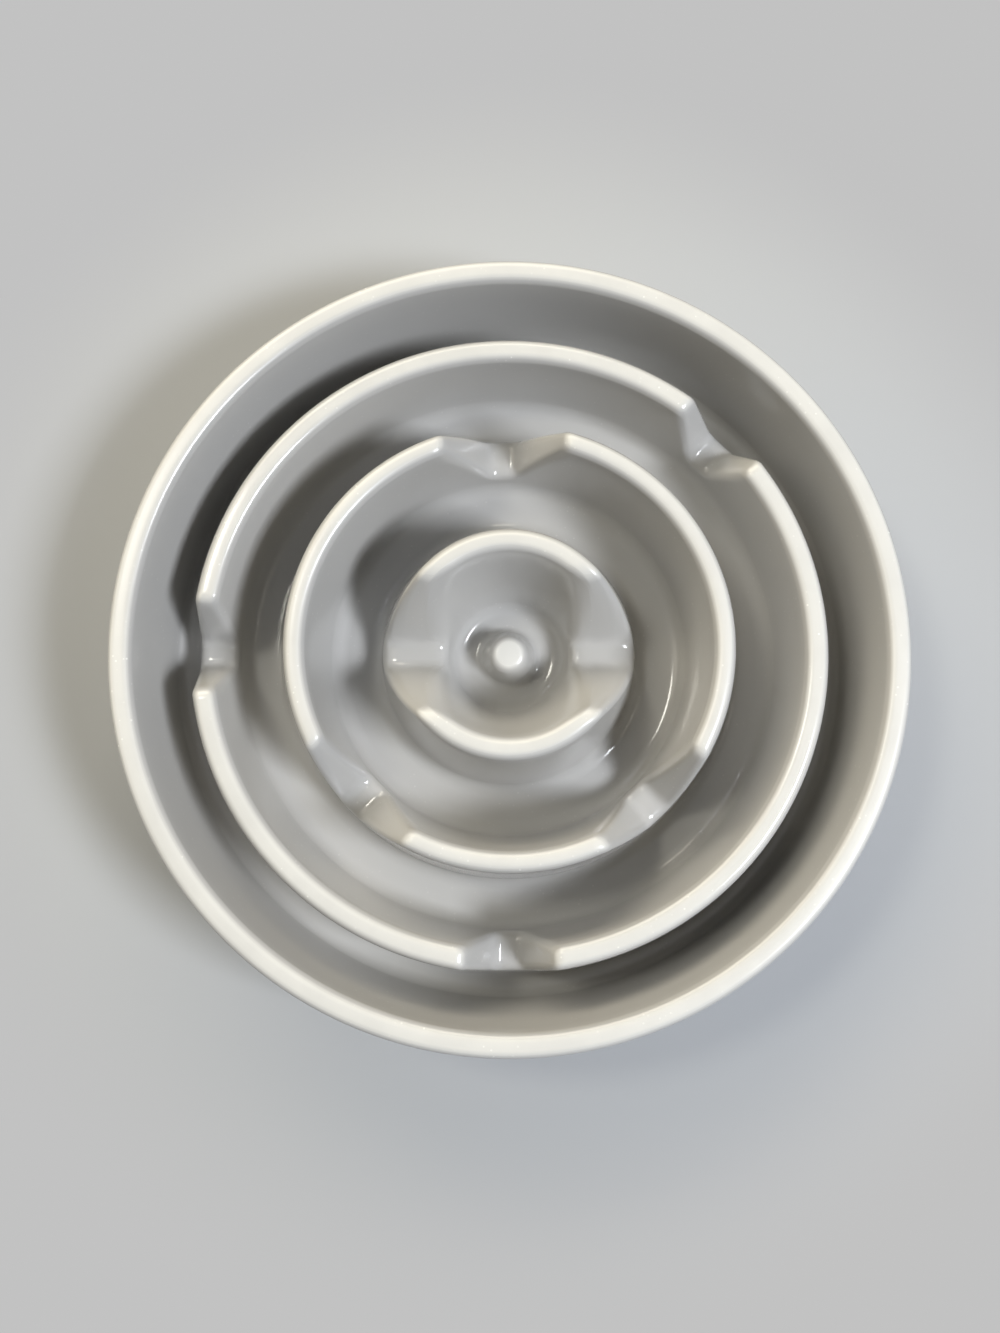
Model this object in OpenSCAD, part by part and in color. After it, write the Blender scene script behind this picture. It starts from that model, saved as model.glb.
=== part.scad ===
// Slow feeder bowl: a hollow moulding with three concentric ridges, cut by saddle notches,
// a centre post, and anti-slip feet that push into sockets underneath.
// Millimetres. The feet stand on z = 0 and Z is the bowl's axis. Depths are measured down from the rim.

/* [Bowl] */
// Height of the rim above the surface that the bowl stands on
bowl_h = 57; // [50:0.5:75]
// Height of the channel floors above that surface
floor_h = 10.5; // [9:0.5:15]
// Width of the rim's land
rim_w = 8; // [7:0.5:9]
// Slope of the rim's inner wall from vertical, in degrees
rim_slope = 3.7; // [2:0.1:5]
// Slope of the outer skirt from vertical, in degrees
skirt_slope = 8; // [4:0.5:12]
// Height of the skirt's lower edge above the surface that the bowl stands on
skirt_lift = 1.5; // [0.5:0.1:2.5]
// Thickness of the moulded wall
wall_t = 2.2; // [1.8:0.1:2.6]
// Radius of the rounded edges along the rim and the ridges
edge_r = 2.5; // [1:0.1:3]

/* [Channels] */
// Width of the inner channel, between the crests of the cup and the inner ridge
inner_channel_w = 31; // [27:0.5:35]
// Width of the middle channel, between the crests of the inner and the middle ridge
middle_channel_w = 26.5; // [23:0.5:30]
// Width of the outer channel, between the middle ridge's crest and the rim
outer_channel_w = 17.5; // [15.5:0.5:29.5]
// Radius of the fillets where a wall meets a wide channel floor
floor_r = 6; // [3:0.5:7]
// Radius of the fillets in the narrow outer channel
outer_floor_r = 4; // [2:0.5:4.5]

/* [Middle ridge] */
// Width of the middle ridge's crest
middle_w = 8; // [7:0.5:10]
// Depth of the middle ridge's crest below the rim
middle_depth = 9; // [1:0.5:14]
// Slope of the middle ridge's outer wall from vertical, in degrees
middle_out_slope = 8; // [4:0.5:9]
// Slope of the middle ridge's inner wall from vertical, in degrees
middle_in_slope = 5; // [3:0.5:9]
// Width of a middle notch at the crest
middle_notch_w = 31; // [20:0.5:40]

/* [Inner ridge] */
// Width of the inner ridge's crest
inner_w = 7; // [6.5:0.5:9]
// Depth of the inner ridge's crest below the rim
inner_depth = 1; // [0:0.5:12]
// Slope of the inner ridge's outer wall from vertical, in degrees
inner_out_slope = 8; // [4:0.5:10]
// Slope of the inner ridge's inner wall from vertical, in degrees
inner_in_slope = 4.5; // [3:0.5:8]
// Width of an inner notch at the crest
inner_notch_w = 44; // [24:0.5:48]

/* [Centre cup] */
// Radius of the cup ridge's crest at its outer edge
cup_r = 40; // [38:0.5:42]
// Width of the cup ridge's crest
cup_w = 7; // [6.5:0.5:8]
// Depth of the cup ridge's crest below the rim
cup_depth = 1.4; // [0:0.2:12]
// Slope of the cup ridge's outer wall from vertical, in degrees
cup_out_slope = 12; // [6:0.5:14]
// Slope of the cup ridge's inner wall from vertical, in degrees
cup_in_slope = 16; // [10:0.5:17]
// Width of the cup that is left standing on each side of its notches, square to them
cup_side_w = 16.5; // [15:0.5:28]
// Radius of the centre post's top at its edge
post_r = 7; // [6.5:0.5:8]
// Depth of the post's top below the rim
post_depth = 32.5; // [24:0.5:36]
// Slope of the post's side from vertical, in degrees
post_slope = 12; // [6:0.5:14]
// Radius that rounds the post's top
post_edge_r = 4; // [2:0.25:5]
// Radius of the fillet round the post's foot
post_foot_r = 3; // [1:0.25:4]

/* [Notches] */
// Depth of every notch's saddle below the rim
saddle_depth = 34; // [26:0.5:36]
// Width of the flat at the bottom of a notch
saddle_w = 9; // [6:0.5:12]
// Radius of the fillets beside that flat
saddle_r = 3; // [1:0.25:4]
// Radius that rounds the crest into a notch's flank
notch_edge_r = 4; // [2:0.5:6]

/* [Feet] */
// Number of anti-slip feet
foot_count = 8; // [4:1:10]
// Radius of a foot's pad
foot_r = 6; // [5:0.25:6.5]
// Thickness of a foot's pad, from its boss to the surface that the bowl stands on
foot_h = 3; // [2:0.25:3.5]
// Radius of a foot's stem
stem_r = 3; // [2:0.25:3.5]
// Length of a foot's stem above its pad
stem_h = 4.5; // [3:0.25:5]
// Gap between the stem and its socket, all round and at the end
stem_gap = 0.1; // [0.05:0.05:0.3]
// Radius of the boss that holds a foot's socket
boss_r = 7; // [6.5:0.25:8]

/* [Hidden] */
$fn = 144;
cut_past = 4;
// straight pieces in each rounded edge or fillet
arc_steps = 3;
// the hollow side's edges are left sharp below this rounding
hollow_edge_r = 0.5;
// the crest side of a notch rises by this angle on its way out over the crest
shoulder_rise = 8;
// how far a notch's cutter runs sideways past its crest ends
shoulder_w = 12;
// how far a notch's cutter runs past the walls of its ridge
notch_clear = 2;
// fillets that face each other take at most this share of the floor or the wall between them
fillet_share = 0.95;
// rounding round a foot's lower edge, and the lead-in on its stem
foot_edge_r = 1;
stem_lead = 0.6;
// how far a boss reaches up beside the channel above its floor
boss_rise = 3;

middle_notches = [45, 180, 270];
inner_notches = [91.5, 225, 312.5];
cup_notches = [0, 180];
foot_turn = 180 / foot_count;

// The ridges' outer crest radii and the rim's outer radius follow from the cup, channel by channel.
inner_r = cup_r + inner_channel_w + inner_w;
middle_r = inner_r + middle_channel_w + middle_w;
rim_r = middle_r + outer_channel_w + rim_w;
cup_notch_w = 2 * (cup_r - cup_side_w);
floor_depth = bowl_h - floor_h;
saddle_z = bowl_h - saddle_depth;
boss_top = floor_h + boss_rise;

bowl_colour = "#b4b4b1";
foot_colour = "#4a4a4c";

function foot_name(i) = str("rubber_foot_", i);

// A ridge is [outer crest radius, crest width, crest depth, outer slope, inner slope].
middle_ridge = [middle_r, middle_w, middle_depth, middle_out_slope, middle_in_slope];
inner_ridge = [inner_r, inner_w, inner_depth, inner_out_slope, inner_in_slope];
cup_ridge = [cup_r, cup_w, cup_depth, cup_out_slope, cup_in_slope];

function unit(v) = v / norm(v);
function left_normal(a, b) = let (d = unit(b - a)) [-d.y, d.x];
function place(corner) = [corner[0], corner[1]];
// Distance along a radius to the circle's point that lies beside that radius by off.
function chord_reach(circle_r, off) = sqrt(circle_r * circle_r - off * off);

// A corner moved so that both of its edges lie t further to their right.
function moved_corner(a, b, c, t) =
    let (n = left_normal(a, b), m = left_normal(b, c))
    b - t * (n + m) / (1 + n * m);

// The rounding of an edge on the hollow side, where the wall takes t of it.
function edge_inside(r, t) = r - t < hollow_edge_r ? 0 : r - t;

// An open run of [x, y, rounding] corners, moved by t to its right. The rounding of a corner that
// bulges left, such as a crest's edge, shrinks by t, and that of a corner that bulges right grows.
function moved_run(run, t) =
    let (last = len(run) - 1)
    [for (i = [0:last])
        let (
            b = place(run[i]),
            a = i == 0 ? b - (place(run[1]) - b) : place(run[i - 1]),
            c = i == last ? b + (b - a) : place(run[i + 1]),
            turn = left_normal(a, b) * (c - b),
            p = moved_corner(a, b, c, t),
            r = run[i][2]
        )
        [p.x, p.y, r == 0 ? 0 : turn > 0 ? r + t : edge_inside(r, t)]
    ];

// The points of an arc of radius r that rounds the corner b between a and c.
function rounded_corner(a, b, c, r) =
    let (
        u = unit(a - b),
        v = unit(c - b),
        half = acos(u * v) / 2,
        centre = b + unit(u + v) * r / sin(half),
        first = b + u * r / tan(half) - centre,
        end = b + v * r / tan(half) - centre,
        turn = 180 - 2 * half
    )
    [for (i = [0:arc_steps])
        let (f = i / arc_steps)
        centre + (first * sin((1 - f) * turn) + end * sin(f * turn)) / sin(turn)
    ];

function rounded_run(run) =
    let (last = len(run) - 1)
    [for (i = [0:last])
        each i == 0 || i == last || run[i][2] == 0
            ? [place(run[i])]
            : rounded_corner(place(run[i - 1]), place(run[i]), place(run[i + 1]), run[i][2])
    ];

// Radius of a ridge's inner and outer wall at a depth below the rim.
function in_wall(ridge, depth) = ridge[0] - ridge[1] - (depth - ridge[2]) * tan(ridge[4]);
function out_wall(ridge, depth) = ridge[0] + (depth - ridge[2]) * tan(ridge[3]);

// The crest of a ridge in section, over its two edges.
function crest(ridge) =
    [
        [in_wall(ridge, ridge[2]), bowl_h - ridge[2], edge_r],
        [out_wall(ridge, ridge[2]), bowl_h - ridge[2], edge_r]
    ];

// A floor in section between two walls, with a fillet on each side that its width leaves room for.
function floor_between(in_x, in_r, out_x, out_r) =
    let (fit = min(1, fillet_share * (out_x - in_x) / (in_r + out_r)))
    [[in_x, floor_h, in_r * fit], [out_x, floor_h, out_r * fit]];

post_rise = floor_depth - post_depth;
post_fit = min(1, fillet_share * post_rise / (post_edge_r + post_foot_r));
post_foot_x = post_r + post_rise * tan(post_slope);
rim_foot_x = rim_r - rim_w - floor_depth * tan(rim_slope);
middle_foot_x = out_wall(middle_ridge, floor_depth);
foot_circle_r = (middle_foot_x + rim_foot_x) / 2;

// The food side in section, from the top of the post out over the ridges and the rim and down the skirt.
food_run = concat(
    [[0, bowl_h - post_depth, 0], [post_r, bowl_h - post_depth, post_edge_r * post_fit]],
    floor_between(post_foot_x, post_foot_r * post_fit, in_wall(cup_ridge, floor_depth), floor_r),
    crest(cup_ridge),
    floor_between(out_wall(cup_ridge, floor_depth), floor_r, in_wall(inner_ridge, floor_depth), floor_r),
    crest(inner_ridge),
    floor_between(out_wall(inner_ridge, floor_depth), floor_r, in_wall(middle_ridge, floor_depth), floor_r),
    crest(middle_ridge),
    floor_between(middle_foot_x, outer_floor_r, rim_foot_x, outer_floor_r),
    [
        [rim_r - rim_w, bowl_h, edge_r],
        [rim_r, bowl_h, edge_r],
        [rim_r + (bowl_h - skirt_lift) * tan(skirt_slope), skirt_lift, 0]
    ]
);

// Everything under the food side, lowered by t: down to the skirt's lower edge for t = 0,
// and past it for the hollow.
module under_side(t) {
    run = rounded_run(moved_run(food_run, t));
    skirt_x = run[len(run) - 1].x;
    low = skirt_lift - cut_past;
    rotate_extrude() polygon(concat(run, t > 0 ? [[skirt_x, low], [0, low]] : [[0, skirt_lift]]));
}

// One half of a notch's outline, from the middle of its flat to its top outer corner.
// The gap is solid to its right, so moving it right by t makes room for a wall of t.
function notch_run(crest_z, notch_w) =
    [
        [0, saddle_z, 0],
        [saddle_w / 2, saddle_z, saddle_r],
        [notch_w / 2, crest_z, notch_edge_r],
        [notch_w / 2 + shoulder_w, crest_z + shoulder_w * tan(shoulder_rise), 0]
    ];

// The room that a notch clears out of a ridge: a straight trough that points at the axis, from
// inside the ridge, where the crest's inner edge is nearest the axis, to outside its outer wall.
module notch(angle, ridge, notch_w, t) {
    half = rounded_run(moved_run(notch_run(bowl_h - ridge[2], notch_w), t));
    right = concat(half, [[half[len(half) - 1].x, bowl_h + cut_past]]);
    left = [for (i = [len(right) - 1:-1:1]) [-right[i].x, right[i].y]];
    crest_in = chord_reach(ridge[0] - ridge[1], notch_w / 2 + notch_edge_r);
    start = min(in_wall(ridge, saddle_depth), crest_in) - notch_clear;
    end = out_wall(ridge, saddle_depth) + notch_clear;
    rotate([0, 0, angle])
        translate([start, 0, 0])
            rotate([90, 0, 90])
                linear_extrude(end - start)
                    polygon(concat(right, left));
}

module notches(t) {
    for (angle = middle_notches) notch(angle, middle_ridge, middle_notch_w, t);
    for (angle = inner_notches) notch(angle, inner_ridge, inner_notch_w, t);
    for (angle = cup_notches) notch(angle, cup_ridge, cup_notch_w, t);
}

module at_foot(i) {
    rotate([0, 0, foot_turn + i * 360 / foot_count])
        translate([foot_circle_r, 0, 0])
            children();
}

module bosses() {
    for (i = [1:foot_count])
        at_foot(i) translate([0, 0, foot_h]) cylinder(h = boss_top - foot_h, r = boss_r);
}

module sockets() {
    for (i = [1:foot_count])
        at_foot(i)
            translate([0, 0, foot_h - cut_past])
                cylinder(h = stem_h + stem_gap + cut_past, r = stem_r + stem_gap);
}

module bowl() {
    color(bowl_colour)
        difference() {
            under_side(0);
            notches(0);
            difference() {
                under_side(wall_t);
                notches(wall_t);
                bosses();
            }
            sockets();
        }
}

// A round pad with a stem that pushes up into the boss's socket.
module rubber_foot(i) {
    outline = rounded_run([
        [0, 0, 0],
        [foot_r, 0, foot_edge_r],
        [foot_r, foot_h, 0],
        [stem_r, foot_h, 0],
        [stem_r, foot_h + stem_h - stem_lead, 0],
        [stem_r - stem_lead, foot_h + stem_h, 0],
        [0, foot_h + stem_h, 0]
    ]);
    color(foot_colour)
        at_foot(i) rotate_extrude() polygon(outline);
}

bowl();
for (i = [1:foot_count])
    rubber_foot(i);
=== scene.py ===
# Slow feeder bowl: one glossy hollow moulding with ridges, notches and a post, on push-in rubber feet
import math

import bmesh
import bpy
import numpy as np
from mathutils import Matrix, Vector


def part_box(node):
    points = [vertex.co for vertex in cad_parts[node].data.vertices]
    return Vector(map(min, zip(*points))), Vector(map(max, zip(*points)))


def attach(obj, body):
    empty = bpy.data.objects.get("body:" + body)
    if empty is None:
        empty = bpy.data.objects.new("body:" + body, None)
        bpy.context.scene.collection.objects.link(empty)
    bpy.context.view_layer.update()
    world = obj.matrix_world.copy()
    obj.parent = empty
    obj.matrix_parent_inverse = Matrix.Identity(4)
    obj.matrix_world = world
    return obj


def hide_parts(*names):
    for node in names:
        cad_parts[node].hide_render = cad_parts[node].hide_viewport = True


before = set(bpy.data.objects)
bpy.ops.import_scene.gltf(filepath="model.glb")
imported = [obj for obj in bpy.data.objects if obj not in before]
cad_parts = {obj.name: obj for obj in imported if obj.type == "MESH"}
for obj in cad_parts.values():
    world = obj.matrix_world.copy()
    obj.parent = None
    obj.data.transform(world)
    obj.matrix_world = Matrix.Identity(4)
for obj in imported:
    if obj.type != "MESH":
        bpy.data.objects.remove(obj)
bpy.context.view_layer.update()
mm = 0.001  # sizes below are in millimetres, and each mesh is brought to metres at its end


def tanDeg(angle):
    return math.tan(math.radians(angle))


def linearColour(hexColour):
    # sRGB hex to the linear values that a shader takes
    parts = [int(hexColour[i:i + 2], 16) / 255 for i in (1, 3, 5)]
    return [c / 12.92 if c <= 0.04045 else ((c + 0.055) / 1.055) ** 2.4 for c in parts] + [1]


def addNode(tree, kind, inputs=(), **settings):
    # each input is linked from (node, output) or set to a plain value
    node = tree.nodes.new(kind)
    for key, value in settings.items():
        setattr(node, key, value)
    for socket, source in inputs:
        if isinstance(source, tuple) and isinstance(source[0], bpy.types.Node):
            tree.links.new(source[0].outputs[source[1]], node.inputs[socket])
        else:
            node.inputs[socket].default_value = source
    return node


def newMaterial(name):
    material = bpy.data.materials.new(name)
    material.use_nodes = True
    return material, material.node_tree, material.node_tree.nodes["Principled BSDF"]


def pieceFromBmesh(bm, name, material, creaseAngle=60):
    mesh = bpy.data.meshes.new(name)
    bm.to_mesh(mesh)
    bm.free()
    mesh.materials.append(material)
    mesh.polygons.foreach_set("use_smooth", [True] * len(mesh.polygons))
    mesh.set_sharp_from_angle(angle=math.radians(creaseAngle))
    piece = bpy.data.objects.new(name, mesh)
    bpy.context.scene.collection.objects.link(piece)
    return piece


# Finishes
plasticFinish = {
    "colour": "#B4B3B0",
    "flowColour": "#AFAEAC",  # a slightly deeper tone where the melt flowed together
    "flowSize": 60, "flowDetail": 2.0,
    "roughness": 0.13, "ior": 1.49,
    "paintedHighlightColour": "#CFCEC9", "rubbedRoughness": 0.32,  # the plastic is painted paler on the up-facing crests, a painted highlight, and is duller there
    "litCrestsAbove": 43, "crestFade": 2,  # the crests get the painted highlight and the dulling fully from this height on
    "litPostRound": 7, "postFade": 2.5,  # and the post's top inside this radius, fading out towards it
    "litFacing": (0.65, 0.93),  # how far a face's normal has to rise, to be painted lit at all and fully
    "patchSize": 16, "patchDetail": 4.0, "patchLevels": (0.35, 0.6), "leastLit": 0.85,
    "dullAbove": 53, "lowCrestDull": 0.35,  # lower crests get the painted highlight too, but keep more of their shine
    "speckAndPostHighlightColour": "#E2E1DC", "speckRoughness": 0.4,
    "speckSpacing": 2.8, "speckSize": 0.9, "speckLevels": (0.45, 0.65),
    "shelteredSpecks": 0.2,  # as strong as this where nothing rubs
    "postHighlightShare": 0.6,  # how far the post's top is painted as pale as the specks, a painted highlight
    "orangePeelSize": 6, "orangePeelDetail": 1.0, "orangePeelDepth": 0.02, "orangePeelStrength": 0.5,
}


def glossMouldedPlastic():
    # polypropylene from a polished mould: grey with a clear shine and a faint flow tone, a little specked
    # and duller on the up-facing crests, which are painted paler as a painted highlight, as is the post's
    # top
    finish = plasticFinish
    material, tree, shader = newMaterial("glossMouldedPlastic")
    place = addNode(tree, "ShaderNodeTexCoord")
    flow = addNode(tree, "ShaderNodeTexNoise", [
        ("Vector", (place, "Object")), ("Scale", 1 / (finish["flowSize"] * mm)),
        ("Detail", finish["flowDetail"])])
    tone = addNode(tree, "ShaderNodeMix", [
        (0, (flow, 0)), (6, linearColour(finish["colour"])), (7, linearColour(finish["flowColour"]))],
        data_type="RGBA")
    # what stands proud: the high crests, and the post round the axis
    height = addNode(tree, "ShaderNodeSeparateXYZ", [(0, (place, "Object"))])
    crests = addNode(tree, "ShaderNodeMapRange", [
        (0, (height, "Z")), (1, (finish["litCrestsAbove"] - finish["crestFade"]) * mm),
        (2, finish["litCrestsAbove"] * mm), (3, 0.0), (4, 1.0)])
    flat = addNode(tree, "ShaderNodeVectorMath", [
        (0, (place, "Object")), (1, (1, 1, 0))], operation="MULTIPLY")
    fromAxis = addNode(tree, "ShaderNodeVectorMath", [(0, (flat, 0))], operation="LENGTH")
    post = addNode(tree, "ShaderNodeMapRange", [
        (0, (fromAxis, 1)), (1, (finish["litPostRound"] - finish["postFade"]) * mm),
        (2, finish["litPostRound"] * mm), (3, 1.0), (4, 0.0)])
    proud = addNode(tree, "ShaderNodeMath", [(0, (crests, 0)), (1, (post, 0))], operation="MAXIMUM")
    # of that, what faces up is painted paler as a painted highlight, and dulled, in soft patches
    facing = addNode(tree, "ShaderNodeSeparateXYZ", [(0, (place, "Normal"))])
    upward = addNode(tree, "ShaderNodeMapRange", [
        (0, (facing, "Z")), (1, finish["litFacing"][0]), (2, finish["litFacing"][1]),
        (3, 0.0), (4, 1.0)])
    patches = addNode(tree, "ShaderNodeTexNoise", [
        ("Vector", (place, "Object")), ("Scale", 1 / (finish["patchSize"] * mm)),
        ("Detail", finish["patchDetail"])])
    patchy = addNode(tree, "ShaderNodeMapRange", [
        (0, (patches, 0)), (1, finish["patchLevels"][0]), (2, finish["patchLevels"][1]),
        (3, finish["leastLit"]), (4, 1.0)])
    lands = addNode(tree, "ShaderNodeMath", [(0, (proud, 0)), (1, (upward, 0))], operation="MULTIPLY")
    paintedLitAndDulled = addNode(tree, "ShaderNodeMath", [(0, (lands, 0)), (1, (patchy, 0))], operation="MULTIPLY")
    # painted highlight: the up-facing crests and the post's top are mixed towards a paler colour
    paler = addNode(tree, "ShaderNodeMix", [
        (0, (paintedLitAndDulled, 0)), (6, (tone, 2)), (7, linearColour(finish["paintedHighlightColour"]))], data_type="RGBA")
    tall = addNode(tree, "ShaderNodeMapRange", [
        (0, (height, "Z")), (1, (finish["dullAbove"] - finish["crestFade"]) * mm),
        (2, finish["dullAbove"] * mm), (3, finish["lowCrestDull"]), (4, 1.0)])
    dull = addNode(tree, "ShaderNodeMath", [(0, (paintedLitAndDulled, 0)), (1, (tall, 0))], operation="MULTIPLY")
    duller = addNode(tree, "ShaderNodeMapRange", [
        (0, (dull, 0)), (1, 0.0), (2, 1.0), (3, finish["roughness"]), (4, finish["rubbedRoughness"])])
    # specks are the middles of small cells, where the patches are strong
    cells = addNode(tree, "ShaderNodeTexVoronoi", [
        ("Vector", (place, "Object")), ("Scale", 1 / (finish["speckSpacing"] * mm))])
    speckReach = finish["speckSize"] / 2 / finish["speckSpacing"]
    speck = addNode(tree, "ShaderNodeMapRange", [
        (0, (cells, 0)), (1, speckReach / 2), (2, speckReach), (3, 1.0), (4, 0.0)])
    often = addNode(tree, "ShaderNodeMapRange", [
        (0, (patches, 0)), (1, finish["speckLevels"][0]), (2, finish["speckLevels"][1]),
        (3, 0.0), (4, 1.0)])
    strong = addNode(tree, "ShaderNodeMapRange", [
        (0, (lands, 0)), (1, 0.0), (2, 1.0), (3, finish["shelteredSpecks"]), (4, 1.0)])
    here = addNode(tree, "ShaderNodeMath", [(0, (often, 0)), (1, (strong, 0))], operation="MULTIPLY")
    specks = addNode(tree, "ShaderNodeMath", [(0, (speck, 0)), (1, (here, 0))], operation="MULTIPLY")
    # painted highlight: the post's top is painted pale nearly all over, in the specks' colour
    postTop = addNode(tree, "ShaderNodeMath", [(0, (post, 0)), (1, (paintedLitAndDulled, 0))], operation="MULTIPLY")
    postHighlight = addNode(tree, "ShaderNodeMath", [
        (0, (postTop, 0)), (1, finish["postHighlightShare"])], operation="MULTIPLY")
    specksAndPostHighlight = addNode(tree, "ShaderNodeMath", [(0, (specks, 0)), (1, (postHighlight, 0))], operation="MAXIMUM")
    # the real specks and the post's painted highlight share one paler colour
    speckedAndPostLit = addNode(tree, "ShaderNodeMix", [
        (0, (specksAndPostHighlight, 0)), (6, (paler, 2)), (7, linearColour(finish["speckAndPostHighlightColour"]))], data_type="RGBA")
    tree.links.new(speckedAndPostLit.outputs[2], shader.inputs["Base Color"])
    shine = addNode(tree, "ShaderNodeMapRange", [
        (0, (specksAndPostHighlight, 0)), (1, 0.0), (2, 1.0), (3, (duller, 0)), (4, finish["speckRoughness"])])
    tree.links.new(shine.outputs[0], shader.inputs["Roughness"])
    peel = addNode(tree, "ShaderNodeTexNoise", [
        ("Vector", (place, "Object")), ("Scale", 1 / (finish["orangePeelSize"] * mm)),
        ("Detail", finish["orangePeelDetail"])])
    bump = addNode(tree, "ShaderNodeBump", [
        ("Height", (peel, 0)), ("Distance", finish["orangePeelDepth"] * mm),
        ("Strength", finish["orangePeelStrength"])])
    tree.links.new(bump.outputs[0], shader.inputs["Normal"])
    shader.inputs["IOR"].default_value = finish["ior"]
    return material


rubberFinish = {
    "colour": "#48484A",
    "dustColour": "#57565A",
    "roughness": 0.7,
    "grainSize": 0.7, "grainDetail": 3.0, "grainDepth": 0.06, "grainStrength": 0.6,
}


def matteMouldedRubber():
    # thermoplastic rubber from a sandblasted mould: matt dark grey with a fine grain that holds some dust
    finish = rubberFinish
    material, tree, shader = newMaterial("matteMouldedRubber")
    place = addNode(tree, "ShaderNodeTexCoord")
    grain = addNode(tree, "ShaderNodeTexNoise", [
        ("Vector", (place, "Object")), ("Scale", 1 / (finish["grainSize"] * mm)),
        ("Detail", finish["grainDetail"])])
    tone = addNode(tree, "ShaderNodeMix", [
        (0, (grain, 0)), (6, linearColour(finish["colour"])), (7, linearColour(finish["dustColour"]))],
        data_type="RGBA")
    tree.links.new(tone.outputs[2], shader.inputs["Base Color"])
    bump = addNode(tree, "ShaderNodeBump", [
        ("Height", (grain, 0)), ("Distance", finish["grainDepth"] * mm),
        ("Strength", finish["grainStrength"])])
    tree.links.new(bump.outputs[0], shader.inputs["Normal"])
    shader.inputs["Roughness"].default_value = finish["roughness"]
    return material


# Bowl: depths go down from the rim, slopes are degrees from vertical, angles are seen from above
bowlShape = {
    "rimWidth": 8, "rimSlope": 3.7, "skirtSlope": 8, "wall": 2.2,
    "floorDepth": 46.5, "floorRound": 6, "outerFloorRound": 4, "edgeRound": 3.1, "skirtEdgeRound": 0.6,
    "postRadius": 6.6, "postDepth": 32.5, "postSlope": 16, "postRound": 4, "postFootRound": 3,
    "saddleDepth": 34, "saddleWidth": 9, "saddleRound": 2.2,
}
ridges = {
    "cup": {"radius": 40, "width": 7, "depth": 1.4, "outSlope": 12, "inSlope": 16,
            "notches": [0, 180], "notchWidth": 47, "notchRound": 4},
    "inner": {"radius": 78, "width": 7, "depth": 1, "outSlope": 8, "inSlope": 4.5,
              "notches": [91.5, 225, 312.5], "notchWidth": 44, "notchRound": 3},
    "middle": {"radius": 112.5, "width": 8, "depth": 9, "outSlope": 8, "inSlope": 5,
               "notches": [45, 180, 270], "notchWidth": 31, "notchRound": 3},
}
meshFineness = {
    "roundSteps": 4, "hollowRoundSteps": 3, "skirtEdgeSteps": 2,
    "leastRound": 0.5,  # the hollow side's corners stay sharp under this radius
    "mergeWithin": 0.001,
    "wallPiece": 4.5,  # longest edge on the food side's walls
    "hollowPiece": 14,  # and on the hollow side
    # turns of the section round the axis: degrees to turn to, steps
    "firstAngle": 35,
    "turns": [(55, 40), (72.5, 12), (110.5, 50), (170, 40), (190, 40), (206, 11), (244, 50), (260, 11),
              (280, 40), (293.5, 9), (331.5, 50), (395, 42)],
}
bowlLow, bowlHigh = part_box("bowl")
rimTop = bowlHigh.z / mm
skirtLow = bowlLow.z / mm
baseRadius = bowlHigh.x / mm
rimRadius = baseRadius - (rimTop - skirtLow) * tanDeg(bowlShape["skirtSlope"])
floorTop = rimTop - bowlShape["floorDepth"]


def inWall(ridge, depth):
    return ridge["radius"] - ridge["width"] - (depth - ridge["depth"]) * tanDeg(ridge["inSlope"])


def outWall(ridge, depth):
    return ridge["radius"] + (depth - ridge["depth"]) * tanDeg(ridge["outSlope"])


def foodSide():
    # corners of the food side from the axis out: radius, height, rounding
    shape, deep = bowlShape, bowlShape["floorDepth"]
    postTop = rimTop - shape["postDepth"]
    postFoot = shape["postRadius"] + (deep - shape["postDepth"]) * tanDeg(shape["postSlope"])
    corners = [(0, postTop, 0), (shape["postRadius"], postTop, shape["postRound"]),
               (postFoot, floorTop, shape["postFootRound"])]
    for name, foot in (("cup", "floorRound"), ("inner", "floorRound"), ("middle", "outerFloorRound")):
        ridge = ridges[name]
        top = rimTop - ridge["depth"]
        corners += [(inWall(ridge, deep), floorTop, shape["floorRound"]),
                    (inWall(ridge, ridge["depth"]), top, shape["edgeRound"]),
                    (outWall(ridge, ridge["depth"]), top, shape["edgeRound"]),
                    (outWall(ridge, deep), floorTop, shape[foot])]
    rimIn = rimRadius - shape["rimWidth"]
    corners += [(rimIn - deep * tanDeg(shape["rimSlope"]), floorTop, shape["outerFloorRound"]),
                (rimIn, rimTop, shape["edgeRound"]), (rimRadius, rimTop, shape["edgeRound"]),
                (baseRadius, skirtLow, shape["skirtEdgeRound"])]
    return corners


def hollowSide(corners):
    # the same corners moved into the plastic by the wall's thickness
    wall, moved = bowlShape["wall"], []
    points = [Vector(c[:2]) for c in corners]
    points = [Vector((-points[1].x, points[1].y))] + points + [points[-1] * 2 - points[-2]]
    for i, corner in enumerate(corners):
        along = [(points[i + 1] - points[i]).normalized(), (points[i + 2] - points[i + 1]).normalized()]
        down = [Vector((d.y, -d.x)) for d in along]
        place = points[i + 1] + (down[0] + down[1]) * (wall / (1 + down[0].dot(down[1])))
        edge = along[0].cross(along[1]) < 0  # an edge loses the wall from its rounding, a fillet gains it
        rounding = corner[2] - wall if edge else corner[2] + wall
        rounded = corner[2] and rounding > meshFineness["leastRound"]
        moved.append((place.x, place.y, rounding if rounded else 0))
    moved[-1] = (moved[-1][0] + (moved[-1][1] - skirtLow) * tanDeg(bowlShape["skirtSlope"]), skirtLow,
                 bowlShape["skirtEdgeRound"])
    return moved


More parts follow.
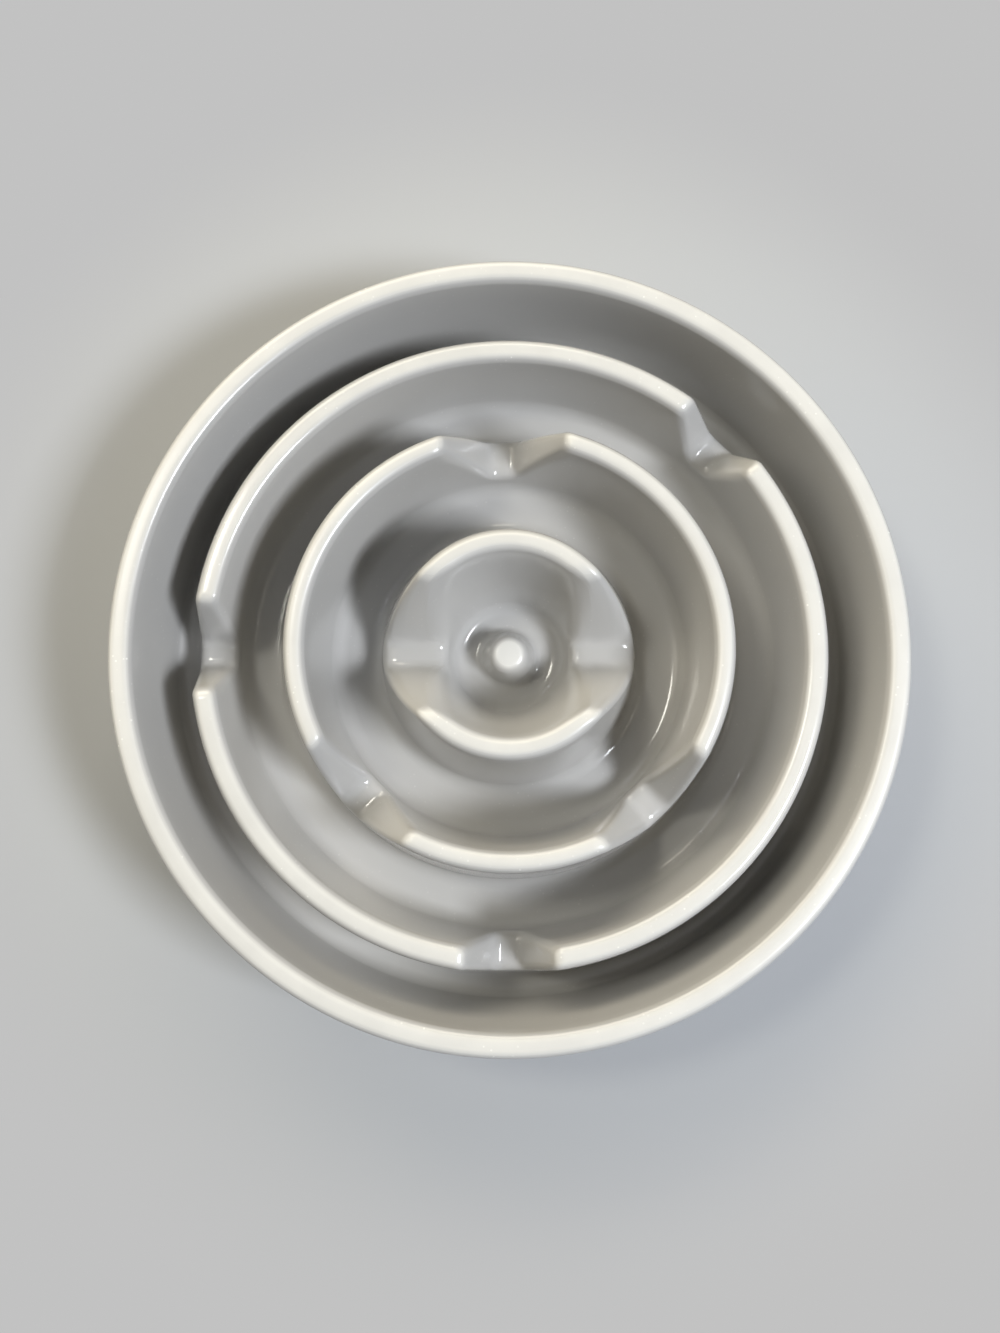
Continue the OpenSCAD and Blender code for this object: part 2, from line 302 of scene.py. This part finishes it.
def roundedWire(corners, steps, longest):
    # a wire in the XZ plane through the corners, each rounded, with its long edges cut into shorter ones
    bm = bmesh.new()
    verts = [bm.verts.new((r, 0, z)) for r, z, _ in corners]
    for pair in zip(verts, verts[1:]):
        bm.edges.new(pair)
    for r, z, rounding in corners[:-1]:
        if rounding:
            roundCorner(bm, r, z, rounding, steps)
    long = {}
    for edge in bm.edges:
        if edge.calc_length() > longest:
            long.setdefault(math.ceil(edge.calc_length() / longest) - 1, []).append(edge)
    for cuts, edges in long.items():
        bmesh.ops.subdivide_edges(bm, edges=edges, cuts=cuts)
    return bm


def vertAt(bm, r, z):
    return min(bm.verts, key=lambda vert: (vert.co - Vector((r, 0, z))).length)


def roundCorner(bm, r, z, rounding, steps):
    vert = vertAt(bm, r, z)
    a, b = [(edge.other_vert(vert).co - vert.co).normalized() for edge in vert.link_edges]
    half = a.angle(b) / 2
    bmesh.ops.bevel(bm, geom=[vert], offset=rounding / math.tan(half), offset_type="OFFSET",
                    segments=steps, profile=0.5, affect="VERTICES", material=-1)


def join(bm, other):
    mesh = bpy.data.meshes.new("joined")
    other.to_mesh(mesh)
    other.free()
    bm.from_mesh(mesh)
    bpy.data.meshes.remove(mesh)


def revolved(wire, firstAngle, turns):
    # spins the wire in sectors, each with its own number of steps, and closes the seams between them
    bm = bmesh.new()
    for lastAngle, steps in turns:
        sector = wire.copy()
        bmesh.ops.rotate(sector, verts=sector.verts, cent=(0, 0, 0),
                         matrix=Matrix.Rotation(math.radians(firstAngle), 3, "Z"))
        bmesh.ops.spin(sector, geom=sector.verts[:] + sector.edges[:], cent=(0, 0, 0), axis=(0, 0, 1),
                       dvec=(0, 0, 0), angle=math.radians(lastAngle - firstAngle), steps=steps,
                       use_merge=False, use_normal_flip=False, use_duplicate=False)
        join(bm, sector)
        firstAngle = lastAngle
    wire.free()
    bmesh.ops.remove_doubles(bm, verts=bm.verts, dist=meshFineness["mergeWithin"])
    bmesh.ops.recalc_face_normals(bm, faces=bm.faces)
    return bm


def smoothMax(a, b, rounding):
    # signed distance to what two solids share, with the edge between them rounded
    return np.minimum(-rounding, np.maximum(a, b)) + np.hypot(
        np.maximum(rounding + a, 0), np.maximum(rounding + b, 0))


def smoothMin(a, b, rounding):
    return -smoothMax(-a, -b, rounding)


def ridgeDistance(ridge, r, z, turn):
    # signed distance to a ridge with its notches: turn is the angle from the nearest notch, in radians
    shape = bowlShape
    crest = rimTop - ridge["depth"]
    below = crest - z
    inner = (ridge["radius"] - ridge["width"] - below * tanDeg(ridge["inSlope"]) - r) \
        * math.cos(math.radians(ridge["inSlope"]))
    outer = (r - ridge["radius"] - below * tanDeg(ridge["outSlope"])) \
        * math.cos(math.radians(ridge["outSlope"]))
    whole = smoothMax(smoothMax(z - crest, inner, shape["edgeRound"]), outer, shape["edgeRound"])
    saddle = rimTop - shape["saddleDepth"]
    across = r * np.sin(np.minimum(np.abs(turn), math.pi / 2)) - shape["saddleWidth"] / 2
    run, rise = (ridge["notchWidth"] - shape["saddleWidth"]) / 2, crest - saddle
    flank = ((z - saddle) * run - across * rise) / math.hypot(run, rise)
    return smoothMax(whole, smoothMin(z - saddle, flank, shape["saddleRound"]), ridge["notchRound"])


notchCut = {
    "above": 6.6, "beside": 2,  # points move that lie this far over the floors, up to this far off a ridge
    "foodDrop": 3.2, "hollowDrop": 1.8,  # the crest's rays fan out from this far under it
    "searchBelow": 6, "searchAbove": 1, "searchOut": 60,  # how far round a ridge its surface is looked for
    "halvings": 40,
}


def crossing(inside, outside, distance):
    # bisects between two sets of points, the first inside and the second outside
    for _ in range(notchCut["halvings"]):
        middle = (inside + outside) / 2
        within = distance(middle) < 0
        inside, outside = np.where(within, middle, inside), np.where(within, outside, middle)
    return (inside + outside) / 2


def cutNotches(points):
    # every vertex of a ridge slides along its own ray, from inside the ridge, to the notched surface
    r, z = np.hypot(points[:, 0], points[:, 1]), points[:, 2]
    angle = np.degrees(np.arctan2(points[:, 1], points[:, 0]))
    deep, wall, beside = bowlShape["floorDepth"], bowlShape["wall"], notchCut["beside"]
    low = floorTop + notchCut["above"]
    for ridge in ridges.values():
        mine = (z > low) & (r > inWall(ridge, deep) - beside) & (r < outWall(ridge, deep) + beside)
        rr, zz = r[mine], z[mine]
        turns = np.array([(angle[mine] - notch + 180) % 360 - 180 for notch in ridge["notches"]])
        turn = np.radians(turns[np.abs(turns).argmin(axis=0), np.arange(len(rr))])
        crest = rimTop - ridge["depth"]
        # a quarter turn from a notch the ridge is whole, and there its two sides are told apart
        hollow = ridgeDistance(ridge, rr, zz, math.pi / 2) < -wall / 2
        level = np.where(hollow, -wall, 0)

        def distance(rho, height):
            return ridgeDistance(ridge, rho, height, turn) - level

        def middleAt(height):
            return (inWall(ridge, rimTop - height) + outWall(ridge, rimTop - height)) / 2

        def widthAt(height):
            return outWall(ridge, rimTop - height) - inWall(ridge, rimTop - height)

        # how high the ridge stands here, along its middle
        line = np.full(len(rr), middleAt(crest))
        top = crossing(np.full(len(rr), low - notchCut["searchBelow"]),
                       np.full(len(rr), crest + notchCut["searchAbove"]), lambda h: distance(line, h))
        drop = np.where(hollow, notchCut["hollowDrop"], notchCut["foodDrop"])
        wholeTop = np.where(hollow, crest - wall, crest)
        fromWhole, fromHere = wholeTop - drop, top - drop
        # the walls' points slide along level rays, and the crest's points along rays that fan out
        onWall = zz < fromWhole
        start = np.where(onWall, low + (zz - low) * (fromHere - low) / (fromWhole - low), fromHere)
        rise = np.where(onWall, 0, zz - fromWhole)
        side = rr - middleAt(np.where(onWall, zz, fromWhole))
        side = np.where(onWall, np.sign(side), side * widthAt(fromHere) / widthAt(fromWhole))
        length = np.hypot(side, rise)
        side, rise = side / length, rise / length
        origin = middleAt(start)
        reach = crossing(np.zeros(len(rr)), np.full(len(rr), notchCut["searchOut"]),
                         lambda t: distance(origin + side * t, start + rise * t))
        r[mine], z[mine] = origin + side * reach, start + rise * reach
    radians = np.radians(angle)
    return np.column_stack([r * np.cos(radians), r * np.sin(radians), z])


def makeBowl(material):
    food = foodSide()
    hollow = hollowSide(food)
    wire = roundedWire(food, meshFineness["roundSteps"], meshFineness["wallPiece"])
    join(wire, roundedWire(hollow, meshFineness["hollowRoundSteps"], meshFineness["hollowPiece"]))
    wire.edges.new((vertAt(wire, *food[-1][:2]), vertAt(wire, *hollow[-1][:2])))
    for r, z, rounding in (food[-1], hollow[-1]):
        roundCorner(wire, r, z, rounding, meshFineness["skirtEdgeSteps"])
    print("section", len(wire.verts), "points")
    bm = revolved(wire, meshFineness["firstAngle"], meshFineness["turns"])
    points = cutNotches(np.array([v.co[:] for v in bm.verts]))
    for vert, point in zip(bm.verts, points):
        vert.co = point
    addBosses(bm)
    bmesh.ops.scale(bm, vec=(mm, mm, mm), verts=bm.verts)
    bowl = pieceFromBmesh(bm, "bowlMoulding", material)
    even = bowl.modifiers.new("evenShading", "WEIGHTED_NORMAL")
    even.keep_sharp = True
    return bowl


footShape = {
    "count": 8, "padRadius": 6, "padHeight": 3, "edgeRound": 1, "padTopRound": 0.3,
    "stemRadius": 3, "stemHeight": 4.5, "stemTopRound": 0.6,
    "gripRings": [(2.1, 2.7), (3.4, 4.0)], "gripDepth": 0.3, "gripTaper": 0.1,
    "bossRadius": 7, "bossTop": 9.4, "bossRound": 0.5, "socketGap": 0.1,
    "roundSteps": 3, "bossTurnSteps": 40, "padTurnSteps": 64, "creaseAngle": 40,
    "longestPiece": 50,  # longer than any edge, so that none is cut
}


def footCentre(number):
    low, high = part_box("rubber_foot_%d" % number)
    return (low + high) / 2 / mm


def addBosses(bm):
    # each boss is a plug under the outer channel, with the blind socket for its foot
    shape = footShape
    socket = shape["stemRadius"] + shape["socketGap"]
    socketTop = shape["padHeight"] + shape["stemHeight"] + shape["socketGap"]
    corners = [(0, socketTop, 0), (socket, socketTop, 0), (socket, shape["padHeight"], 0),
               (shape["bossRadius"], shape["padHeight"], shape["bossRound"]),
               (shape["bossRadius"], shape["bossTop"], 0), (0, shape["bossTop"], 0)]
    for number in range(1, shape["count"] + 1):
        centre = footCentre(number)
        part = revolved(roundedWire(corners, shape["roundSteps"], shape["longestPiece"]), 0,
                        [(360, shape["bossTurnSteps"])])
        bmesh.ops.translate(part, vec=(centre.x, centre.y, 0), verts=part.verts)
        join(bm, part)


def makeFoot(number, material):
    shape = footShape
    centre = footCentre(number)
    top, taper = shape["padHeight"] + shape["stemHeight"], shape["gripTaper"]
    corners = [(0, 0, 0)]
    for inner, outer in shape["gripRings"]:  # shallow grooves that help the pad to grip
        corners += [(inner, 0, 0), (inner + taper, shape["gripDepth"], 0),
                    (outer - taper, shape["gripDepth"], 0), (outer, 0, 0)]
    corners += [(shape["padRadius"], 0, shape["edgeRound"]),
                (shape["padRadius"], shape["padHeight"], shape["padTopRound"]),
                (shape["stemRadius"], shape["padHeight"], 0),
                (shape["stemRadius"], top, shape["stemTopRound"]), (0, top, 0)]
    bm = revolved(roundedWire(corners, shape["roundSteps"], shape["longestPiece"]), 0,
                  [(360, shape["padTurnSteps"])])
    bmesh.ops.translate(bm, vec=(centre.x, centre.y, 0), verts=bm.verts)
    bmesh.ops.scale(bm, vec=(mm, mm, mm), verts=bm.verts)
    return pieceFromBmesh(bm, "footPad%d" % number, material, shape["creaseAngle"])


plastic = glossMouldedPlastic()
rubber = matteMouldedRubber()
bowl = makeBowl(plastic)
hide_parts("bowl")
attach(bowl, "root")
triangles = sum(len(polygon.vertices) - 2 for polygon in bowl.data.polygons)
print("bowl", len(bowl.data.vertices), "vertices", triangles, "triangles")
for number in range(1, footShape["count"] + 1):
    foot = makeFoot(number, rubber)
    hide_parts("rubber_foot_%d" % number)
    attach(foot, "root")
print("feet", footShape["count"])

# Floor, light and camera: lamps stand at a turn and a height in degrees, sizes are in metres
studio = {
    "floorSize": 12, "floorColour": "#A9ABAD", "floorMottle": "#A7A9AB", "mottleScale": 3.0,
    "floorRoughness": 0.8,
    "underFeet": 0.00005,  # the floor lies a hair under the feet, so that it shares no face with them
    "litWithin": 0.17, "plainBeyond": 0.26,  # the floor's lit middle fades into the plain background
    "background": 0.54, "ambient": 0.03,
    "lamps": {
        "coolWindow": {"turn": 337, "height": 48, "away": 1.6, "wide": 0.46, "tall": 0.34,
                       "power": 27, "colour": "#F4F8FF"},
        "warmPanel": {"turn": 105, "height": 31, "away": 1.6, "wide": 1.6, "tall": 0.7,
                      "power": 17, "colour": "#FFF6E2"},
        "warmCorner": {"turn": 150, "height": 31, "away": 1.6, "wide": 2.4, "tall": 1.4,
                       "power": 15, "colour": "#FFF6E2"},
        "smallTop": {"turn": 150, "height": 60, "away": 1.6, "wide": 0.3, "tall": 0.3,
                     "power": 5, "colour": "#FFFCF0"},
    },
}


def addSeenRays(tree):
    # 1 for the rays that show the background to the camera, straight or in a shine
    path = addNode(tree, "ShaderNodeLightPath")
    shine = addNode(tree, "ShaderNodeMath", [
        (0, (path, "Is Glossy Ray")), (1, (path, "Is Transmission Ray"))], operation="MAXIMUM")
    return addNode(tree, "ShaderNodeMath", [
        (0, (path, "Is Camera Ray")), (1, (shine, 0))], operation="MAXIMUM")


def paleMattBoard():
    # smooth matt board: an even pale grey with only a trace of shine, plain and evenly bright further out
    material, tree, shader = newMaterial("paleMattBoard")
    place = addNode(tree, "ShaderNodeTexCoord")
    mottle = addNode(tree, "ShaderNodeTexNoise", [
        ("Vector", (place, "Object")), ("Scale", studio["mottleScale"])])
    tone = addNode(tree, "ShaderNodeMix", [
        (0, (mottle, 0)), (6, linearColour(studio["floorColour"])),
        (7, linearColour(studio["floorMottle"]))], data_type="RGBA")
    tree.links.new(tone.outputs[2], shader.inputs["Base Color"])
    shader.inputs["Roughness"].default_value = studio["floorRoughness"]
    out = addNode(tree, "ShaderNodeVectorMath", [(0, (place, "Object"))], operation="LENGTH")
    fade = addNode(tree, "ShaderNodeMapRange", [
        (0, (out, 1)), (1, studio["litWithin"]), (2, studio["plainBeyond"]), (3, 0.0), (4, 1.0)],
        interpolation_type="SMOOTHSTEP")
    seen = addNode(tree, "ShaderNodeMath", [
        (0, (addSeenRays(tree), 0)), (1, (fade, 0))], operation="MULTIPLY")
    plain = addNode(tree, "ShaderNodeEmission", [
        ("Color", (1, 1, 1, 1)), ("Strength", studio["background"])])
    mixed = addNode(tree, "ShaderNodeMixShader", [(0, (seen, 0)), (1, (shader, 0)), (2, (plain, 0))])
    tree.links.new(mixed.outputs[0], tree.nodes["Material Output"].inputs["Surface"])
    return material


def addFloor():
    bm = bmesh.new()
    bmesh.ops.create_grid(bm, x_segments=1, y_segments=1, size=studio["floorSize"] / 2,
                          matrix=Matrix.Translation((0, 0, -studio["underFeet"])))
    floor = pieceFromBmesh(bm, "studioFloor", paleMattBoard())


def addLamp(name, lamp):
    light = bpy.data.lights.new(name, "AREA")
    light.shape = "RECTANGLE" if lamp["wide"] > lamp["tall"] else "DISK"
    light.size, light.size_y = lamp["wide"], lamp["tall"]
    light.energy = lamp["power"]
    light.color = linearColour(lamp["colour"])[:3]
    holder = bpy.data.objects.new(name, light)
    turn, height = math.radians(lamp["turn"]), math.radians(lamp["height"])
    level = math.cos(height)
    towards = Vector((math.cos(turn) * level, math.sin(turn) * level, math.sin(height)))
    holder.location = towards * lamp["away"]
    holder.rotation_euler = (-towards).to_track_quat("-Z", "Y").to_euler()
    bpy.context.scene.collection.objects.link(holder)


def addWorld():
    world = bpy.data.worlds.new("studioWorld")
    world.use_nodes = True
    bpy.context.scene.world = world
    tree = world.node_tree
    strength = addNode(tree, "ShaderNodeMapRange", [
        (0, (addSeenRays(tree), 0)), (1, 0.0), (2, 1.0),
        (3, studio["ambient"]), (4, studio["background"])])
    tree.nodes["Background"].inputs["Color"].default_value = (1, 1, 1, 1)
    tree.links.new(strength.outputs[0], tree.nodes["Background"].inputs["Strength"])


cameraView = {
    "place": (-2.6, -46.2, 396.4),
    "tilt": 6.342, "roll": 0.1,
    "focalPixels": 1001, "tallSidePixels": 1333, "sensorWidth": 36,
    "nearest": 10,  # nothing closer than this is shown
}


def addCamera():
    camera = bpy.data.cameras.new("photoCamera")
    camera.sensor_width = cameraView["sensorWidth"]
    camera.lens = cameraView["focalPixels"] * camera.sensor_width / cameraView["tallSidePixels"]
    camera.clip_start = cameraView["nearest"] * mm
    holder = bpy.data.objects.new("photoCamera", camera)
    turned = Matrix.Rotation(math.radians(cameraView["roll"]), 4, "Y") \
        @ Matrix.Rotation(math.radians(cameraView["tilt"]), 4, "X")
    holder.matrix_world = Matrix.Translation(Vector(cameraView["place"]) * mm) @ turned
    bpy.context.scene.collection.objects.link(holder)
    bpy.context.scene.camera = holder


addFloor()
addWorld()
for name, lamp in studio["lamps"].items():
    addLamp(name, lamp)
addCamera()
bpy.context.scene.view_settings.view_transform = "Standard"
print("studio done")
